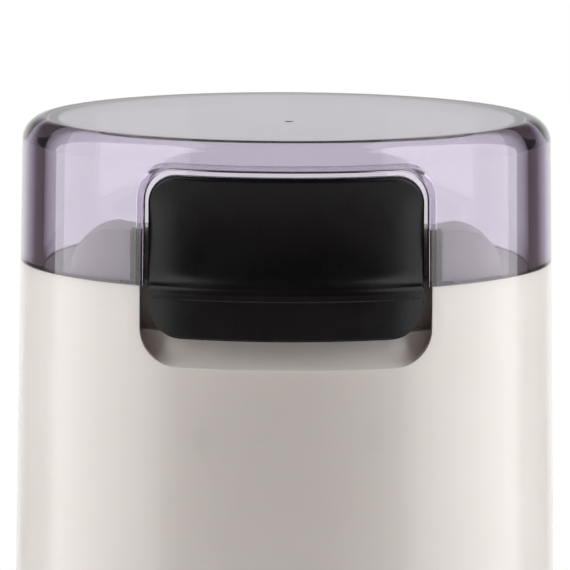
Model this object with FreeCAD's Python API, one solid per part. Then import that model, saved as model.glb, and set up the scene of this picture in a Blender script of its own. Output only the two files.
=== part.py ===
import FreeCAD, Part
import math
import os

from FreeCAD import Vector

os.makedirs("parts", exist_ok=True)

# Blade spice grinder, in millimetres. Up is +Z, the button faces -Y, and the feet stand on Z = 0.

# Overall sizes
seam_height = 141.0
seam_radius = 45.0
draft_angle = 0.88
foot_height = 2.5

# Lid
lid_height = 24.2
lid_wall = 3.8
lid_top_wall = 3.4
lid_edge_radius = 3.9
lid_inner_edge_radius = 2.4
skirt_depth = 4.0
skirt_thickness = 1.4
skirt_gap = 0.3
ring_clearance = 1.0

# Niche for the button, cut in the lid, with the recess below it in the housing
niche_half_width = 24.0
niche_height = 20.0
niche_corner = 6.0
niche_depth = 7.0
lid_niche_inset = 0.8
lid_niche_wall = 1.2
recess_wall = 2.0
recess_depth = 13.0
recess_straight = 7.8
shelf_depth = 2.8
dish_middle_out = 0.22
dish_middle_down = 0.70

# Housing shell
shell_wall = 2.1
shell_bottom = 5.0
ledge_thickness = 2.0
ledge_width = 2.4

# Deck, pouring ring and bowl
deck_thickness = 2.0
deck_rim_wall = 1.9
deck_flange = 1.4
ring_height = 3.4
ring_dip = 2.8
ring_wall = 2.4
bowl_inset = 15.0
bowl_depth = 36.0
bowl_sheet = 0.6
bowl_corner = 9.0
bowl_flange_width = 5.0
throat_inset = 0.2
gasket_width = 1.2
deck_screw_inset = 7.0
deck_screw_radius = 1.1
deck_boss_radius = 2.4
deck_boss_floor = 0.6
deck_screw_head = 1.5
deck_screw_tip_gap = 1.2
screw_tab_angles = (35.0, 90.0, 145.0)
tab_reach = 3.0
tab_width = 7.0

# Hood on the deck, inside the lid on both sides of the niche and behind it
hood_half_width = 34.0
hood_height = 8.5
hood_corner = 7.0
hood_side_gap = 0.2
hood_back = 16.0
hood_wall = 1.6

# Bowl carrier
carrier_gap = 0.3
carrier_wall = 1.8
carrier_flange = 2.4
carrier_floor = 3.0
carrier_boss_radius = 4.5
carrier_boss_length = 3.0

# Button
button_side_gap = 1.4
button_top_gap = 1.64
button_chin_gap = 4.45
button_top_corner = 4.8
button_chin_corner = 5.2
button_top_inset = 0.1
button_plate = 2.5
button_edge_round = 0.6
lip_drop = 1.75
lip_corner = 1.3
lip_reach = 1.3
chin_inset = 1.1
chin_wall = 1.8
scoop_depth = 1.6
scoop_middle = 0.52
scoop_foot_rise = 3.2
scoop_foot_reach = 0.45
ledge_rise = 1.35
ledge_reach = 1.15
nose_round = 0.5
nose_rise = 0.35
nose_drop = 0.9
nose_middle_in = 0.08
nose_middle_drop = 0.2
lip_chamfer = 0.25
chin_side_inset = 0.25
chin_chamfer = 0.4
arm_inner = 5.5
arm_thickness = 3.0
arm_depth = 2.2
arm_eye_radius = 2.8
ear_thickness = 2.6
ear_rim = 0.7
tail_pin_gap = 0.4
button_swing = 6.0
pivot_drop = 16.5
pivot_set_back = 0.2
pivot_pin_radius = 1.25
running_gap = 0.05
web_drop = 2.0
web_height = 2.5
spring_wire = 0.5
spring_radius = 2.2
spring_drop = 3.6
tail_length = 4.4
tail_thickness = 2.4
sight_gap = 0.1
part_gap = 0.3

# Switches
switch_width = 19.8
switch_depth = 5.8
switch_height = 10.2
plunger_radius = 1.2
plunger_height = 1.6
switch_bracket_thickness = 1.6
terminal_pitch = 7.5
terminal_length = 4.0
terminal_width = 2.4
terminal_thickness = 0.5
hook_thickness = 1.2
hook_reach = 3.0
bracket_screw_x = 13.5
bracket_post_radius = 2.6
small_screw_radius = 1.1
small_screw_bite = 1.9
small_screw_head = 1.4
hole_spare = 0.6
plunger_bite = 1.5
lid_switch_gap = 0.6
lid_switch_width = 9.0
lid_switch_depth = 4.4
lid_switch_height = 6.5
key_radius = 0.6
key_height = 0.3
key_inset = 0.3
lid_tab_width = 6.0
lid_tab_angle = 62.0

# Blade and shaft
shaft_radius = 3.0
shaft_bottom = 13.0
blade_clearance = 4.5
blade_width = 11.0
blade_sheet = 1.6
blade_lift = 6.0
blade_tip_rise = 4.5
blade_tip_length = 8.0
spacer_radius = 7.0
nut_radius = 5.0
nut_height = 5.0
seal_radius = 8.0
seal_neck_radius = 5.5
seal_height = 2.4
thread_radius = 2.5
blade_tip_width = 4.0
blade_corner = (2.0, 1.0)
nut_dome = 1.35
nut_dome_rise = 0.4
nut_full_height = 0.45
nut_engagement = 0.7

# Motor
stator_radius = 28.0
stator_ring = 4.0
stator_bottom = 44.0
pole_length = 13.0
air_gap = 0.5
pole_half_width = 7.0
pole_shoe = 2.6
coil_overhang = 4.6
coil_half_width = 14.5
winding_inset = 0.9
bracket_half_width = 10.0
pillar_half_width = 3.0
pillar_inset = 2.0
window_count = 4
window_radius = 4.5
window_inset = 8.0
capacitor_inset = 6.5
bolt_inset = 1.0
bolt_radius = 1.5
bolt_head_radius = 2.8
bolt_head_height = 2.4
post_radius = 4.0
bracket_plate = 3.0
damper_length = 2.7
lower_bracket_bottom = 18.0
hub_radius = 8.5
bush_radius = 5.5
bush_length = 8.0
hub_drop = 4.0
hub_rise = 2.0
hub_gap = 1.0
upper_hub_drop = 1.5
bar_end = 4.5
flange_margin = 2.0
shaft_clearance = 1.0
bolt_tip_cover = 0.8
bolt_drive_radius = 1.1
bolt_drive_depth = 1.2
slot_count = 12
slot_width = 2.6
slot_depth = 6.0
winding_overhang = 4.0
winding_side_gap = 0.2
commutator_radius = 9.0
commutator_bottom = 27.0
commutator_length = 11.0
segment_count = 24
segment_cut = 0.8
segment_gap = 0.5
riser_height = 1.5
riser_reach = 1.2
riser_bite = 1.5
fan_radius = 22.0
fan_drop = 3.5
fan_height = 8.0
fan_blades = 11
fan_hub_wall = 3.0
fan_plate = 1.4
fan_vane = 1.2
fan_vane_inset = 0.3
brush_width = 5.0
brush_height = 6.0
brush_length = 11.0
brush_spring_radius = 1.9
holder_wall = 0.8
holder_length = 19.0
holder_gap = 1.4
fuse_radius = 1.6
fuse_length = 9.0
fuse_gap = 0.7
capacitor_size = (13.0, 5.0, 11.0)
capacitor_corner = 0.8
capacitor_angle = 45.0
shoe_spread = 1.2

# Base
base_plate = 2.2
base_rim_height = 7.0
base_rim_wall = 1.8
base_gap = 0.25
foot_radius = 5.5
foot_inset = 1.2
foot_edge_inset = 9.0
foot_count = 4
foot_edge = 0.8
foot_turn = 45.0
base_chamfer = 1.2
screw_radius = 1.4
screw_head_radius = 2.8
screw_inset = 7.0
screw_length = 14.0
screw_sink = 1.1
screw_spare = 3.0
screw_slot = (1.4, 0.3)
boss_floor = 1.5
boss_web = 1.0
boss_radius = 3.8
base_screw_angles = (30.0, 150.0, 270.0)
vent_rows = 7
vent_width = 2.4
vent_pitch = 5.6
vent_field_inset = 14.0
vent_spine = 2.4

# Cord inlet
inlet_height = 22.0
inlet_bore = 3.3
grommet_neck = 4.6
grommet_flange = 6.6
grommet_face = 1.3
inlet_pad_radius = 8.4
inlet_pad_depth = 2.4
grommet_fit = 0.1
grommet_lock = 0.9
grommet_lip = 1.5

# Where features of one piece run into each other, and where a cutting shape runs past what it cuts
overlap = 0.5
beyond = 1.0
far_beyond = 9.0

# Planes worked out from the sizes above
base_plate_bottom = foot_height
base_top = base_plate_bottom + base_plate
lid_top = seam_height + lid_height
niche_back_radius = seam_radius - niche_depth
bowl_radius = seam_radius - bowl_inset
deck_screw_circle = seam_radius - deck_screw_inset
button_half_width = niche_half_width - button_side_gap
button_top = niche_height - button_top_gap
button_chin = recess_depth - button_chin_gap
blade_span = bowl_radius - blade_clearance
ring_top = seam_height + ring_height
pivot_z = seam_height - pivot_drop
flange_top = seam_height - skirt_depth - ring_clearance
carrier_top = flange_top - deck_flange
ledge_top = carrier_top - carrier_flange
bowl_rim_z = carrier_top
bowl_floor = bowl_rim_z - bowl_depth
carrier_bore = bowl_radius + bowl_sheet + carrier_gap
carrier_bottom = bowl_floor - bowl_sheet - carrier_gap - carrier_floor
upper_bracket_bottom = carrier_bottom - carrier_boss_length - damper_length - bracket_plate
fan_bottom = upper_bracket_bottom - fan_drop - fan_height
stator_top = fan_bottom - fuse_gap - 2 * fuse_radius - coil_overhang
bore_radius = stator_radius - pole_length
armature_radius = bore_radius - air_gap
bolt_circle = stator_radius - bolt_inset
window_circle = stator_radius - window_inset
capacitor_circle = stator_radius - capacitor_inset
screw_circle = seam_radius - screw_inset
foot_circle = seam_radius - foot_edge_inset
vent_field_radius = screw_circle - vent_field_inset
pivot_y = -(niche_back_radius - pivot_set_back)
slope = math.tan(math.radians(draft_angle))


def outer_radius(z):
    return seam_radius + (seam_height - z) * slope


def shell_inner_radius(z):
    return outer_radius(z) - shell_wall


def revolve(points):
    """Solid of revolution about Z from (radius, height) corners."""
    wire = Part.makePolygon([Vector(r, 0, z) for r, z in points] + [Vector(points[0][0], 0, points[0][1])])
    return Part.Face(wire).revolve(Vector(0, 0, 0), Vector(0, 0, 1), 360)


def disc(radius, bottom, top, x=0.0, y=0.0):
    return Part.makeCylinder(radius, top - bottom, Vector(x, y, bottom))


def tube(outer, inner, bottom, top, x=0.0, y=0.0):
    return disc(outer, bottom, top, x, y).cut(disc(inner, bottom - beyond, top + beyond, x, y))


def block(x0, x1, y0, y1, z0, z1):
    return Part.makeBox(x1 - x0, y1 - y0, z1 - z0, Vector(x0, y0, z0))


def turned(shape, angle):
    copy = shape.copy()
    copy.rotate(Vector(0, 0, 0), Vector(0, 0, 1), angle)
    return copy


def union(shapes):
    return shapes[0].multiFuse(shapes[1:]).removeSplitter()


def group(shapes):
    return Part.makeCompound(shapes)


def rounded_prism(half_width, z_low, z_high, r_low, r_high):
    """Prism along Y in front of the axis, with rounded lower and upper corners."""
    w = half_width
    k = math.sqrt(0.5)

    def arc(cx, cz, r, sx, sz, flip):
        a = Vector(cx + sx * r, 0, cz)
        m = Vector(cx + sx * r * k, 0, cz + sz * r * k)
        b = Vector(cx, 0, cz + sz * r)
        return Part.Arc(b, m, a).toShape() if flip else Part.Arc(a, m, b).toShape()

    edges = []

    def line(x0, z0, x1, z1):
        edges.append(Part.LineSegment(Vector(x0, 0, z0), Vector(x1, 0, z1)).toShape())

    line(-w + r_low, z_low, w - r_low, z_low)
    if r_low > 0:
        edges.append(arc(w - r_low, z_low + r_low, r_low, 1, -1, True))
    line(w, z_low + r_low, w, z_high - r_high)
    if r_high > 0:
        edges.append(arc(w - r_high, z_high - r_high, r_high, 1, 1, False))
    line(w - r_high, z_high, -w + r_high, z_high)
    if r_high > 0:
        edges.append(arc(-w + r_high, z_high - r_high, r_high, -1, 1, True))
    line(-w, z_high - r_high, -w, z_low + r_low)
    if r_low > 0:
        edges.append(arc(-w + r_low, z_low + r_low, r_low, -1, -1, False))
    face = Part.Face(Part.Wire(Part.__sortEdges__(edges)))
    face.translate(Vector(0, -seam_radius - far_beyond, 0))
    return face.extrude(Vector(0, seam_radius + far_beyond, 0))


def recess_section(offset):
    """Space in front of the recess wall: a straight back, a shelf behind the chin, then the dish."""
    back = niche_back_radius - offset
    top = seam_height + beyond
    shelf_z = seam_height - recess_straight - offset
    shelf_r = back + shelf_depth
    edge_z = seam_height - recess_depth - offset
    edge_r = seam_radius + 2 * beyond
    far = seam_radius + 2 * far_beyond
    middle = Vector(
        shelf_r + dish_middle_out * (edge_r - shelf_r), 0, shelf_z + dish_middle_down * (edge_z - shelf_z)
    )
    corners = [
        Vector(edge_r, 0, edge_z),
        Vector(far, 0, edge_z),
        Vector(far, 0, top),
        Vector(back, 0, top),
        Vector(back, 0, shelf_z),
        Vector(shelf_r, 0, shelf_z),
    ]
    edges = [Part.LineSegment(a, b).toShape() for a, b in zip(corners, corners[1:])]
    edges.append(Part.Arc(corners[-1], middle, corners[0]).toShape())
    return Part.Face(Part.Wire(edges)).revolve(Vector(0, 0, 0), Vector(0, 0, 1), 360)


def front_notch(gap, top):
    """Space that the recess wall takes out of the deck and the carrier flange, up to a height."""
    low = carrier_top - carrier_flange - 2 * beyond
    return block(
        -niche_half_width - recess_wall - gap,
        niche_half_width + recess_wall + gap,
        -seam_radius - far_beyond,
        0,
        low,
        top,
    ).cut(disc(niche_back_radius - recess_wall - gap, low - beyond, top + beyond))


def make_lid():
    base_r = outer_radius(seam_height)
    top_r = outer_radius(lid_top)
    inner_top = lid_top - lid_top_wall
    outer = revolve([(0, seam_height), (base_r, seam_height), (top_r, lid_top), (0, lid_top)])
    outer = outer.makeFillet(lid_edge_radius, rim_edges(outer, lid_top))
    inner = revolve(
        [
            (0, seam_height - beyond),
            (outer_radius(seam_height - beyond) - lid_wall, seam_height - beyond),
            (outer_radius(inner_top) - lid_wall, inner_top),
            (0, inner_top),
        ]
    )
    inner = inner.makeFillet(lid_inner_edge_radius, rim_edges(inner, inner_top))
    half = niche_half_width - lid_niche_inset
    high = seam_height + niche_height - lid_niche_inset
    corner = niche_corner - lid_niche_inset
    wall = lid_niche_wall
    pocket = rounded_prism(half + wall, seam_height, high + wall, 0, corner + wall)
    pocket = pocket.common(outer).cut(disc(niche_back_radius - wall, seam_height - beyond, lid_top))
    void = rounded_prism(half, seam_height - beyond, high, 0, corner)
    void = void.cut(disc(niche_back_radius, seam_height - 2 * beyond, lid_top))
    skirt_r = shell_inner_radius(seam_height) - skirt_gap
    skirt = tube(skirt_r, skirt_r - skirt_thickness, seam_height - skirt_depth, seam_height + overlap)
    gap = niche_half_width + recess_wall + skirt_gap
    skirt = skirt.cut(
        block(-gap, gap, -seam_radius, 0, seam_height - skirt_depth - beyond, seam_height + beyond)
    )
    tab_bottom = ledge_top - ledge_thickness + key_height + part_gap
    tab = block(
        skirt_r - skirt_thickness,
        skirt_r,
        -lid_tab_width / 2,
        lid_tab_width / 2,
        tab_bottom,
        seam_height - skirt_depth + overlap,
    ).common(disc(skirt_r, tab_bottom - beyond, seam_height))
    tab = tab.cut(disc(skirt_r - skirt_thickness, tab_bottom - beyond, seam_height))
    solid = union([outer.cut(inner), pocket]).cut(void)
    return solid.fuse([skirt, turned(tab, lid_tab_angle)]).removeSplitter()


def rim_edges(solid, z):
    """Closed edges that lie in the plane z."""
    found = []
    for edge in solid.Edges:
        box = edge.BoundBox
        if abs(box.ZMin - z) < 1e-6 and abs(box.ZMax - z) < 1e-6:
            found.append(edge)
    return found


def arm_boxes(y0, y1, z0, z1, gap=0.0):
    """The two button arms' width, as boxes between two y and two z values."""
    near = arm_inner - gap
    far = arm_inner + arm_thickness + gap
    return [block(near, far, y0, y1, z0, z1), block(-far, -near, y0, y1, z0, z1)]


def make_body_shell():
    top = seam_height
    outer = revolve(
        [(0, shell_bottom), (outer_radius(shell_bottom), shell_bottom), (seam_radius, top), (0, top)]
    )
    inner = revolve(
        [
            (0, shell_bottom - beyond),
            (shell_inner_radius(shell_bottom - beyond), shell_bottom - beyond),
            (shell_inner_radius(top + beyond), top + beyond),
            (0, top + beyond),
        ]
    )
    wall = outer.cut(inner)
    ledge_r = shell_inner_radius(ledge_top) - ledge_width
    ledge = tube(shell_inner_radius(ledge_top) + overlap, ledge_r, ledge_top - ledge_thickness, ledge_top)
    side = niche_half_width + recess_wall
    ledge = ledge.cut(
        block(-side, side, -seam_radius, 0, ledge_top - ledge_thickness - beyond, ledge_top + beyond)
    )
    tabs = []
    for angle in screw_tab_angles:
        tab = block(
            deck_screw_circle - tab_reach,
            ledge_r + beyond,
            -tab_width / 2,
            tab_width / 2,
            ledge_top - ledge_thickness,
            ledge_top,
        )
        tabs.append(turned(tab, angle))
    solid = union([wall, ledge] + tabs)
    for angle in screw_tab_angles:
        hole = disc(
            deck_screw_radius + part_gap,
            ledge_top - ledge_thickness - beyond,
            ledge_top + beyond,
            deck_screw_circle,
        )
        solid = solid.cut(turned(hole, angle))
    solid = solid.cut(turned(lid_tab_slot(), lid_tab_angle))

    backing = rounded_prism(side, top - recess_depth - recess_wall, top, niche_corner + recess_wall, 0)
    backing = backing.common(recess_section(recess_wall)).common(outer)
    void = rounded_prism(niche_half_width, top - recess_depth, top + beyond, niche_corner, 0)
    void = void.common(recess_section(0))
    solid = union([solid, backing]).cut(void)

    swing = math.tan(math.radians(button_swing)) * (pivot_drop - web_drop)
    front = pivot_y - arm_depth / 2
    back = pivot_y + arm_depth / 2 + swing + part_gap
    slot_gap = part_gap + sight_gap
    slots = arm_boxes(front - part_gap, back, pivot_z, top - web_drop + part_gap * 2, slot_gap)
    eye = arm_eye_radius + part_gap
    slots += arm_boxes(pivot_y - eye, pivot_y + eye, pivot_z - eye, pivot_z + eye, slot_gap)
    solid = solid.cut(slots)

    ears = []
    near = arm_inner + arm_thickness + part_gap + sight_gap
    ear_half = arm_eye_radius + ear_rim
    ear_low = switch_top_z() + part_gap
    for x in (near, -near - ear_thickness):
        ear = block(x, x + ear_thickness, -seam_radius, pivot_y + ear_half, ear_low, pivot_z + ear_half)
        ears.append(
            ear.common(
                disc(shell_inner_radius(pivot_z) + overlap, pivot_z - far_beyond, pivot_z + far_beyond)
            ),
        )
    pin_hole = along_x(pivot_pin_radius, niche_half_width)
    ears = [ear.cut(pin_hole) for ear in ears]

    posts = []
    for x in (-bracket_screw_x, bracket_screw_x):
        post = Part.makeCylinder(
            bracket_post_radius, seam_radius, Vector(x, bracket_front(), switch_mid_z()), Vector(0, -1, 0)
        )
        posts.append(post.common(disc(shell_inner_radius(switch_mid_z()) + overlap, base_top, ledge_top)))
    solid = union([solid] + ears + posts)
    for x in (-bracket_screw_x, bracket_screw_x):
        mouth = Vector(x, bracket_front() + overlap, switch_mid_z())
        solid = solid.cut(
            Part.makeCylinder(small_screw_radius, small_screw_bite + hole_spare, mouth, Vector(0, -1, 0))
        )

    boss_top = base_top + screw_length
    bosses = []
    for angle in base_screw_angles:
        boss = disc(boss_radius, base_top, boss_top, screw_circle)
        rim_clear = base_plate_bottom + base_rim_height + part_gap
        web = block(screw_circle, shell_inner_radius(rim_clear), -boss_web, boss_web, rim_clear, boss_top)
        web = web.common(housing_inside())
        shape = union([boss, web]).cut(
            disc(screw_radius, base_top - beyond, boss_top - boss_floor, screw_circle)
        )
        bosses.append(turned(shape, angle))
    solid = union([solid] + bosses)

    pad = along_y(
        inlet_pad_radius, shell_inner_radius(inlet_height) - inlet_pad_depth, seam_radius + far_beyond
    )
    solid = solid.fuse(pad.common(outer))
    solid = solid.cut(along_y(grommet_neck, stator_radius, seam_radius + far_beyond))
    solid = solid.cut(along_y(grommet_flange, grommet_face_y() - grommet_face, seam_radius + far_beyond))
    return solid.removeSplitter()


def housing_inside():
    """Everything inside the housing's inner face, with a little of the wall."""
    low = shell_bottom
    return revolve(
        [
            (0, low),
            (shell_inner_radius(low) + overlap, low),
            (shell_inner_radius(seam_height) + overlap, seam_height),
            (0, seam_height),
        ]
    )


def along_y(radius, y0, y1):
    """Round bar on the cord inlet's axis."""
    return Part.makeCylinder(radius, y1 - y0, Vector(0, y0, inlet_height), Vector(0, 1, 0))


def along_x(radius, half_length):
    """Round bar on the button's pivot axis."""
    return Part.makeCylinder(
        radius, 2 * half_length, Vector(-half_length, pivot_y, pivot_z), Vector(1, 0, 0)
    )


def grommet_face_y():
    """Plane of the grommet's face, just inside the curved wall at the flange's edge."""
    return math.sqrt(outer_radius(inlet_height + grommet_flange) ** 2 - grommet_flange**2)


def lid_tab_slot():
    """Slot for the lid's switch tab, through the deck flange, the carrier flange and the ledge."""
    skirt_r = shell_inner_radius(seam_height) - skirt_gap
    low = ledge_top - ledge_thickness - beyond
    half = lid_tab_width / 2 + part_gap
    near = skirt_r - skirt_thickness - 2 * key_radius
    return block(near, skirt_r + beyond, -half, half, low, flange_top + beyond)


def bracket_front():
    return switch_y() - switch_depth / 2 - switch_bracket_thickness


def switch_y():
    """Centre of the switch body, just clear of the bowl carrier."""
    return -(carrier_bore + carrier_wall + part_gap + switch_depth / 2)


def switch_top_z():
    return pivot_z - tail_thickness / 2 - running_gap - plunger_height


def switch_mid_z():
    return switch_top_z() - switch_height / 2


def plunger_y():
    return pivot_y + tail_length - plunger_radius


def deck_rim_radius():
    return shell_inner_radius(seam_height) - skirt_gap - skirt_thickness - skirt_gap


def hood_form(offset, low):
    """The hood's outline, drawn in by an offset, from a height up to its top."""
    top = seam_height + hood_height - offset
    form = rounded_prism(hood_half_width - offset, low, top, 0, hood_corner - offset)
    inner_r = bowl_radius - throat_inset + ring_wall - overlap + offset
    form = form.common(tube(deck_rim_radius() - hood_side_gap - offset, inner_r, low, top))
    form = form.cut(block(-seam_radius, seam_radius, -hood_back - offset, beyond, low, top))
    half = niche_half_width - lid_niche_inset + lid_niche_wall + part_gap + offset
    pocket = block(-half, half, -seam_radius, 0, low, top)
    return form.cut(pocket.cut(disc(niche_back_radius - lid_niche_wall - part_gap - offset, low, top)))


def make_deck_ring():
    throat = bowl_radius - throat_inset
    ring_r = throat + ring_wall
    flange_r = shell_inner_radius(flange_top) - part_gap
    rim_r = deck_rim_radius()
    foot_r = bowl_radius + bowl_flange_width + gasket_width + part_gap
    solid = revolve(
        [
            (throat, carrier_top),
            (flange_r, carrier_top),
            (flange_r, flange_top),
            (rim_r, flange_top),
            (rim_r, seam_height),
            (ring_r, seam_height),
            (ring_r, ring_top),
            (throat, ring_top),
        ]
    )
    under = seam_height - deck_thickness
    solid = solid.cut(tube(rim_r - deck_rim_wall, ring_r, flange_top, under))
    solid = solid.cut(tube(rim_r - deck_rim_wall, foot_r, carrier_top - beyond, flange_top + beyond))
    bosses = []
    for angle in screw_tab_angles:
        boss = disc(deck_boss_radius, carrier_top, under + overlap, deck_screw_circle)
        bosses.append(turned(boss, angle))
    solid = union([solid] + bosses)
    for angle in screw_tab_angles:
        bore = disc(deck_screw_radius, carrier_top - beyond, under - deck_boss_floor, deck_screw_circle)
        solid = solid.cut(turned(bore, angle))
    dip_r = (ring_r**2 + ring_dip**2) / (2 * ring_dip)
    dip = Part.makeCylinder(
        dip_r, seam_radius * 2, Vector(0, -seam_radius, ring_top - ring_dip + dip_r), Vector(0, 1, 0)
    )
    solid = solid.cut(dip)
    solid = solid.cut(front_notch(part_gap, ring_top + beyond))
    solid = solid.cut(turned(lid_tab_slot(), lid_tab_angle))
    hood = hood_form(0, seam_height - overlap).cut(front_notch(part_gap, seam_height + part_gap))
    return solid.fuse(hood).cut(hood_form(hood_wall, under - beyond)).removeSplitter()


def make_bowl_carrier():
    flange_r = shell_inner_radius(flange_top) - part_gap
    cup_r = carrier_bore + carrier_wall
    solid = revolve(
        [
            (0, carrier_bottom),
            (cup_r, carrier_bottom),
            (cup_r, ledge_top),
            (flange_r, ledge_top),
            (flange_r, carrier_top),
            (0, carrier_top),
        ]
    )
    solid = solid.cut(disc(carrier_bore, carrier_bottom + carrier_floor, carrier_top + beyond))
    seat_r = bowl_radius + bowl_flange_width + gasket_width + part_gap
    solid = solid.cut(disc(seat_r, carrier_top - bowl_sheet, carrier_top + beyond))
    bosses = []
    for y in (-bolt_circle, bolt_circle):
        boss = disc(
            carrier_boss_radius, carrier_bottom - carrier_boss_length, carrier_bottom + overlap, 0, y
        )
        bosses.append(boss)
    solid = union([solid] + bosses)
    for y in (-bolt_circle, bolt_circle):
        solid = solid.cut(disc(bolt_radius, 0, bolt_tip(), 0, y))
    for angle in screw_tab_angles:
        hole = disc(
            deck_screw_radius + part_gap, ledge_top - beyond, carrier_top + beyond, deck_screw_circle
        )
        solid = solid.cut(turned(hole, angle))
    solid = solid.cut(
        disc(seal_neck_radius, carrier_bottom - beyond, carrier_bottom + carrier_floor + beyond)
    )
    solid = solid.cut(front_notch(part_gap, ring_top + beyond))
    solid = solid.cut(turned(lid_tab_slot(), lid_tab_angle))
    return solid.removeSplitter()


def bolt_tip():
    return carrier_bottom + carrier_floor - bolt_tip_cover


def make_grinding_bowl():
    outer = disc(bowl_radius + bowl_sheet, bowl_floor - bowl_sheet, bowl_rim_z)
    outer = outer.makeFillet(bowl_corner + bowl_sheet, rim_edges(outer, bowl_floor - bowl_sheet))
    inner = disc(bowl_radius, bowl_floor, bowl_rim_z + beyond)
    inner = inner.makeFillet(bowl_corner, rim_edges(inner, bowl_floor))
    flange = disc(bowl_radius + bowl_flange_width, bowl_rim_z - bowl_sheet, bowl_rim_z)
    solid = union([outer, flange]).cut(inner)
    return solid.cut(disc(seal_neck_radius, bowl_floor - 2 * beyond, bowl_floor + beyond)).removeSplitter()


def make_bowl_gasket():
    inner = bowl_radius + bowl_flange_width
    solid = tube(inner + gasket_width, inner, bowl_rim_z - bowl_sheet, bowl_rim_z)
    return solid.cut(front_notch(part_gap, ring_top + beyond)).removeSplitter()


def make_shaft_seal():
    neck = disc(seal_neck_radius, carrier_bottom + carrier_floor, bowl_floor + overlap)
    head = disc(seal_radius, bowl_floor, bowl_floor + seal_height)
    return union([neck, head]).cut(disc(shaft_radius + running_gap, carrier_bottom, bowl_floor + far_beyond))


def blade_bottom():
    return bowl_floor + blade_lift


def make_blade():
    half = blade_span
    flat_end = half - blade_tip_length
    z = blade_bottom()
    t = blade_sheet
    side = [
        (-half, z + blade_tip_rise),
        (-flat_end, z),
        (flat_end, z),
        (half, z + blade_tip_rise),
        (half, z + blade_tip_rise + t),
        (flat_end, z + t),
        (-flat_end, z + t),
        (-half, z + blade_tip_rise + t),
    ]
    points = [Vector(x, -blade_width, h) for x, h in side]
    strip = Part.Face(Part.makePolygon(points + points[:1])).extrude(Vector(0, 2 * blade_width, 0))
    w = blade_width / 2
    tip = blade_tip_width / 2
    long, short = blade_corner
    plan = [(-half, tip), (-half, -w + short), (-half + long, -w), (0, -w), (flat_end, -w), (half, -tip)]
    plan += [(half, w - short), (half - long, w), (0, w), (-flat_end, w)]
    points = [Vector(x, y, z - beyond) for x, y in plan]
    outline = Part.Face(Part.makePolygon(points + points[:1])).extrude(
        Vector(0, 0, blade_tip_rise + far_beyond)
    )
    hub = disc(spacer_radius, z - 2 * beyond, z + t + 2 * beyond)
    solid = strip.common(outline.fuse(hub))
    return solid.cut(disc(thread_radius, z - 2 * beyond, z + t + 2 * beyond)).removeSplitter()


def make_blade_spacer():
    return tube(spacer_radius, shaft_radius, bowl_floor + seal_height + part_gap, blade_bottom())


def make_blade_nut():
    bottom = blade_bottom() + blade_sheet
    across = nut_radius / math.cos(math.pi / 6)
    corners = []
    for k in range(6):
        angle = k * math.pi / 3
        corners.append(Vector(across * math.cos(angle), across * math.sin(angle), bottom))
    prism = Part.Face(Part.makePolygon(corners + corners[:1])).extrude(Vector(0, 0, nut_height))
    dome_r = nut_height * nut_dome
    dome = Part.makeSphere(dome_r, Vector(0, 0, bottom + nut_height - dome_r + nut_dome_rise))
    low = disc(across + beyond, bottom, bottom + nut_height * nut_full_height)
    solid = prism.common(dome.fuse(low))
    return solid.cut(disc(thread_radius, bottom - beyond, shaft_top())).removeSplitter()


def shaft_top():
    return blade_bottom() + blade_sheet + nut_height * nut_engagement


def make_motor_shaft():
    low = disc(shaft_radius, shaft_bottom, blade_bottom())
    return union([low, disc(thread_radius, blade_bottom() - overlap, shaft_top())])


def slot_boxes(width, depth, bottom, top, radius):
    boxes = []
    for k in range(slot_count):
        boxes.append(
            turned(
                block(radius - depth, radius + beyond, -width / 2, width / 2, bottom, top),
                k * 360 / slot_count,
            ),
        )
    return boxes


def make_armature_core():
    solid = tube(armature_radius, shaft_radius, stator_bottom, stator_top)
    return solid.cut(
        slot_boxes(slot_width, slot_depth, stator_bottom - beyond, stator_top + beyond, armature_radius)
    )


def make_armature_winding():
    outer = armature_radius - winding_inset
    low = tube(outer, shaft_radius + shaft_clearance, stator_bottom - winding_overhang, stator_bottom)
    high = tube(outer, shaft_radius + shaft_clearance, stator_top, stator_top + winding_overhang)
    bars = slot_boxes(
        slot_width - 2 * winding_side_gap,
        slot_depth - winding_side_gap,
        stator_bottom - beyond,
        stator_top + beyond,
        armature_radius,
    )
    inside = disc(outer, stator_bottom - beyond, stator_top + beyond)
    return union([low, high] + [bar.common(inside) for bar in bars])


def make_commutator():
    top = commutator_bottom + commutator_length
    solid = tube(commutator_radius, shaft_radius, commutator_bottom, top)
    cuts = []
    for k in range(segment_count):
        half = segment_gap / 2
        deep = commutator_radius - segment_cut
        cut = block(deep, commutator_radius + beyond, -half, half, commutator_bottom - beyond, top + beyond)
        cuts.append(turned(cut, k * 360 / segment_count))
    riser = tube(commutator_radius + riser_reach, commutator_radius - riser_bite, top - riser_height, top)
    return solid.cut(cuts).fuse(riser).removeSplitter()


def make_cooling_fan():
    hub = disc(shaft_radius + fan_hub_wall, fan_bottom, fan_bottom + fan_height)
    plate = disc(fan_radius, fan_bottom + fan_height - fan_plate, fan_bottom + fan_height)
    vanes = []
    for k in range(fan_blades):
        vane_start = shaft_radius + fan_hub_wall - beyond
        vane_top = fan_bottom + fan_height - beyond
        vane = block(
            vane_start, fan_radius - fan_vane_inset, -fan_vane / 2, fan_vane / 2, fan_bottom, vane_top
        )
        vanes.append(turned(vane, k * 360 / fan_blades))
    return union([hub, plate] + vanes).cut(disc(shaft_radius, 0, seam_height)).removeSplitter()


def both_sides(shape):
    return [shape, turned(shape, 180)]


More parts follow.
